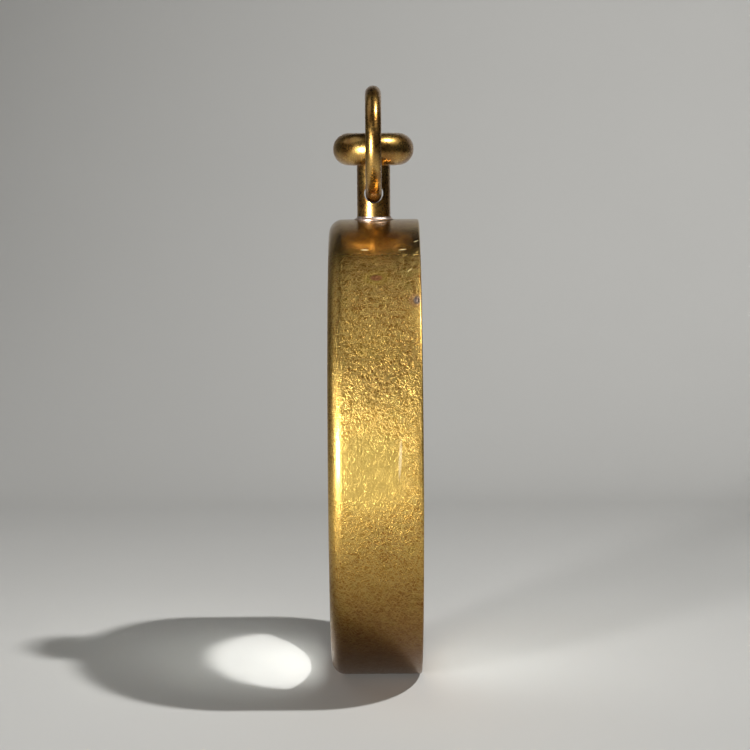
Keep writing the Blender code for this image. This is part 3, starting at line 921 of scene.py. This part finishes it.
class LOCKET_OT_glasses(LocketOperator):
    """Build the ground lens in front and the flat glass at the back"""

    bl_idname = "locket.build_glasses"
    bl_label = "Lens and back glass"

    def execute(self, context):
        sizes = context.scene.locket_sizes
        finishes = context.scene.locket_finishes
        radius = outer_radius("front_lens")
        front, back = front_and_back("front_lens")
        bevel = 0.12 * MM
        steps = 26
        radii = [(radius - bevel) * i / steps for i in range(steps + 1)]
        falls = [lens_fall(sizes, r) for r in radii]
        face = [(r, front - fall) for r, fall in zip(radii, falls)]
        rear = [(r, back + fall) for r, fall in zip(radii, falls)]
        edge = [(radius, face[-1][1] - bevel), (radius, rear[-1][1] + bevel)]
        glass = clear_glass("ground_lens_glass", finishes, 6.0, radius - bevel, LENS_GATHERS)
        drum_piece("reading_lens", face + edge + rear[::-1], glass, "bezel", "front_lens",
                   "lens_glass", unrolled=False, closed=False, steps=256)
        radius = outer_radius("back_glass")
        front, back = front_and_back("back_glass")
        plate = [
            (0.0, front),
            (radius - bevel, front),
            (radius, front - bevel),
            (radius, back + bevel),
            (radius - bevel, back),
            (0.0, back),
        ]
        glass = clear_glass("back_plate_glass", finishes, 8.0, radius - bevel, radius)
        drum_piece("back_pane", plate, glass, "drum", "back_glass", "plate_glass",
                   unrolled=False, closed=False, steps=256)
        return {"FINISHED"}


class LOCKET_OT_pendant(LocketOperator):
    """Build the post with its bow hole, the solder at its foot and the crown on top"""

    bl_idname = "locket.build_pendant"
    bl_label = "Post, solder and crown"

    def execute(self, context):
        sizes = context.scene.locket_sizes
        finishes = context.scene.locket_finishes
        brass = handled_brass("handled_brass_rod", finishes)
        axis = {"centre": (0.0, 0.0, DRUM_TOP), "tilt": UPRIGHT, "closed": False, "run": 9 * MM}
        post_low, post_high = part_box("pendant_post")
        crown_low, crown_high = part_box("crown_knob")
        self.build_post(sizes, brass, axis, post_low.z, post_high.z, crown_low.z)
        self.build_solder(finishes)
        self.build_crown(sizes, brass, axis, crown_low.z, crown_high.z, post_high.z)
        return {"FINISHED"}

    def drum_tool(self):
        """The drum's outside, a joint's gap larger, which saddles what is soldered on it."""
        radius = CASE_RADIUS + JOINT_GAP
        points = [(0.0, CASE_FRONT), (radius, CASE_FRONT), (radius, CASE_BACK), (0.0, CASE_BACK)]
        return put_on_lathe("drum_tool", points, closed=False, steps=720, run=30 * MM)

    def build_post(self, sizes, brass, axis, low, high, shoulder):
        radius = outer_radius("pendant_post")
        tenon = TENON_RADIUS
        top = high - DRUM_TOP
        neck = shoulder - DRUM_TOP - JOINT_GAP
        foot = low - DRUM_TOP
        edge = 0.1 * MM
        points = [
            (0.0, top),
            (tenon - edge, top),
            (tenon, top - edge),
            (tenon, neck),
            (radius, neck),
            (radius, foot),
            (0.0, foot),
        ]
        post = put_on_lathe("pendant_stem", points, brass, steps=128, **axis)
        hole_radius = sizes.bow_hole
        mouth = radius + JOINT_GAP
        throat = radius - sizes.hole_chamfer
        wide = hole_radius + mouth - throat
        half = [(0.0, 3 * MM), (wide, 3 * MM), (wide, mouth), (hole_radius, throat)]
        half += [(r, -h) for r, h in reversed(half)]
        hole = put_on_lathe("bow_hole", half, centre=(0.0, 0.0, HINGE_HEIGHT),
                            tilt=(0.0, math.pi / 2, 0.0), steps=96, closed=False, run=9 * MM)
        stub_points = [(0.0, 0.05 * MM), (tenon, 0.05 * MM), (tenon, foot), (0.0, foot)]
        stub = put_on_lathe("tenon_stub", stub_points, steps=96, **axis)
        drum = self.drum_tool()
        combine(post, drum, "DIFFERENCE")
        combine(post, hole, "DIFFERENCE")
        combine(post, stub, "UNION")
        finish_piece(post, brass, "drum", "pendant_post", (drum, hole, stub))

    def build_solder(self, finishes):
        inside = outer_radius("pendant_post") + JOINT_GAP
        outside = outer_radius("solder_seam")
        foot = -(CASE_RADIUS - math.sqrt(CASE_RADIUS ** 2 - outside ** 2)) - JOINT_GAP
        sweep = outside - inside
        rise = 0.30 * MM
        lowest = 0.06 * MM
        steps = 8
        fillet = []
        for i in range(steps + 1):
            turn = math.pi / 2 * i / steps
            height = rise * (1.0 - math.sin(turn)) + lowest
            fillet.append((outside - sweep * math.cos(turn), height))
        points = [*fillet, (outside, foot), (inside, foot)]
        solder = silver_solder(finishes)
        seam = put_on_lathe("solder_fillet", points, solder, centre=(0.0, 0.0, DRUM_TOP),
                            tilt=UPRIGHT, steps=128, waver=0.02 * MM, waver_spacing=0.7 * MM,
                            seed=9)
        drum = self.drum_tool()
        combine(seam, drum, "DIFFERENCE")
        finish_piece(seam, solder, "drum", "solder_seam", (drum,))

    def build_crown(self, sizes, brass, axis, low, high, spigot_top):
        radius = outer_radius("crown_knob")
        round_edge = sizes.crown_edge_radius
        top = high - DRUM_TOP
        bottom = low - DRUM_TOP
        bore = TENON_RADIUS + JOINT_GAP
        bore_top = spigot_top - DRUM_TOP + 2 * JOINT_GAP
        upper = (radius - round_edge, top - round_edge)
        lower = (radius - round_edge, bottom + round_edge)
        points = [
            (0.0, top),
            *arc(upper, round_edge, 90.0, 0.0, 16),
            *arc(lower, round_edge, 0.0, -90.0, 16),
            (bore, bottom),
            (bore, bore_top),
            (0.0, bore_top),
        ]
        crown = put_on_lathe("crown_button", points, brass, steps=160, waver=0.006 * MM,
                             waver_spacing=2.0 * MM, seed=12, **{**axis, "run": 0.5 * MM})
        finish_piece(crown, brass, "drum", "crown_knob")


class LOCKET_OT_bow(LocketOperator):
    """Build the bow, a closed ring of round wire through the post"""

    bl_idname = "locket.build_bow"
    bl_label = "Bow"

    def execute(self, context):
        low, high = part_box("bow_ring")
        wire = (high.y - low.y) / 2
        ring = (high.x - low.x) / 2 - wire
        brass = handled_brass("handled_brass_wire", context.scene.locket_finishes)
        points = arc((ring, 0.0), wire, 0.0, 345.0, 23)
        bow = put_on_lathe("bow_wire", points, brass, centre=BOW_MIDDLE, steps=192,
                           waver=0.008 * MM, waver_spacing=3.0 * MM, seed=15)
        finish_piece(bow, brass, "bow", "bow_ring")
        return {"FINISHED"}


class LOCKET_OT_stage(LocketOperator):
    """Build the paper sweep, the room's light, the lamps and the camera"""

    bl_idname = "locket.build_stage"
    bl_label = "Stage"

    def execute(self, context):
        scene = context.scene
        studio = scene.locket_studio
        self.build_paper(scene.locket_finishes)
        self.build_room(scene, studio)
        powers = (studio.key_power, studio.low_power, studio.soft_power)
        for lamp, watts in zip(LAMPS, powers):
            self.build_lamp(watts, *lamp)
        self.build_camera(scene, studio)
        scene.view_settings.view_transform = "Standard"
        return {"FINISHED"}

    def build_paper(self, finishes):
        """One sheet: flat under the object, then bent up behind it."""
        bend = 110 * MM
        bend_start = 130 * MM
        near_edge = -700 * MM
        rise = 220 * MM
        half_width = 300 * MM
        line = [(near_edge, FLOOR_HEIGHT), (bend_start, FLOOR_HEIGHT)]
        line += arc((bend_start, FLOOR_HEIGHT + bend), bend, -90.0, 0.0, 32)
        line.append((bend_start + bend, FLOOR_HEIGHT + rise))
        vertices = [(x, side, z) for x, z in line for side in (-half_width, half_width)]
        faces = [(2 * i, 2 * i + 2, 2 * i + 3, 2 * i + 1) for i in range(len(line) - 1)]
        mesh = bpy.data.meshes.new("studio_sweep")
        mesh.from_pydata(vertices, [], faces)
        mesh.shade_smooth()
        mesh.materials.append(studio_paper(finishes))
        add_object("studio_sweep", mesh)

    def build_room(self, scene, studio):
        """An even room: dim for the fill, and pale grey where it is looked at past the paper."""
        world = bpy.data.worlds.new("dim_room")
        scene.world = world
        world.use_nodes = True
        world.node_tree.nodes.clear()
        ray = add_node(world.node_tree, "ShaderNodeLightPath").outputs
        looked_at = add_node(world.node_tree, "ShaderNodeMath", {"operation": "MAXIMUM"},
                             {0: ray["Is Camera Ray"], 1: ray["Is Transmission Ray"]})
        level = add_node(world.node_tree, "ShaderNodeMapRange",
                         inputs={"Value": looked_at.outputs[0], "To Min": studio.room_level,
                                 "To Max": studio.backdrop_level})
        air = add_node(world.node_tree, "ShaderNodeBackground",
                       inputs={"Color": linear("#EEF0F2"), "Strength": level.outputs[0]})
        add_node(world.node_tree, "ShaderNodeOutputWorld", inputs={"Surface": air.outputs[0]})

    def build_lamp(self, watts, name, aim, direction, distance, width, height, spread):
        lamp = bpy.data.lights.new(name, "AREA")
        lamp.shape = "RECTANGLE"
        lamp.size = width
        lamp.size_y = height
        lamp.energy = watts
        lamp.spread = math.radians(spread)
        thing = add_object(name, lamp)
        away = Vector(direction).normalized()
        thing.location = DRUM_MIDDLE + Vector(aim) + away * distance
        thing.rotation_euler = away.to_track_quat("Z", "Y").to_euler()

    def build_camera(self, scene, studio):
        lens = bpy.data.cameras.new("camera")
        lens.sensor_width = 36.0
        lens.lens = studio.camera_lens
        lens.clip_start = 10 * MM
        lens.clip_end = 5.0
        camera = add_object("camera", lens)
        camera.location = (-studio.camera_distance, 0.0, studio.camera_height)
        ahead = Euler((math.pi / 2 - studio.camera_pitch, 0.0, -math.pi / 2)).to_matrix()
        roll = Matrix.Rotation(studio.camera_roll, 3, "Z")
        camera.rotation_euler = (ahead @ roll).to_euler()
        scene.camera = camera


class LOCKET_PT_panel(Panel):
    """Lists the locket's operators, sizes and colours in the 3D view's sidebar"""

    bl_idname = "LOCKET_PT_panel"
    bl_label = "See-through locket"
    bl_space_type = "VIEW_3D"
    bl_region_type = "UI"
    bl_category = "Locket"

    def draw(self, context):
        layout = self.layout
        for operator in OPERATORS:
            layout.operator(operator.bl_idname)
        for name in GROUPS:
            group = getattr(context.scene, name)
            box = layout.box()
            for key in group.__annotations__:
                box.prop(group, key)


OPERATORS = (
    LOCKET_OT_case,
    LOCKET_OT_inner_rings,
    LOCKET_OT_bezel,
    LOCKET_OT_glasses,
    LOCKET_OT_pendant,
    LOCKET_OT_bow,
    LOCKET_OT_stage,
)
GROUPS = {
    "locket_sizes": LocketSizes,
    "locket_finishes": LocketFinishes,
    "locket_studio": LocketStudio,
}


def register():
    for name, group in GROUPS.items():
        bpy.utils.register_class(group)
        setattr(bpy.types.Scene, name, PointerProperty(type=group))
    for operator in OPERATORS:
        bpy.utils.register_class(operator)
    bpy.utils.register_class(LOCKET_PT_panel)


def unregister():
    bpy.utils.unregister_class(LOCKET_PT_panel)
    for operator in reversed(OPERATORS):
        bpy.utils.unregister_class(operator)
    for name, group in GROUPS.items():
        delattr(bpy.types.Scene, name)
        bpy.utils.unregister_class(group)


def main():
    register()
    bpy.ops.locket.build_case()
    bpy.ops.locket.build_inner_rings()
    bpy.ops.locket.build_bezel()
    bpy.ops.locket.build_glasses()
    bpy.ops.locket.build_pendant()
    bpy.ops.locket.build_bow()
    bpy.ops.locket.build_stage()


if __name__ == "__main__":
    main()
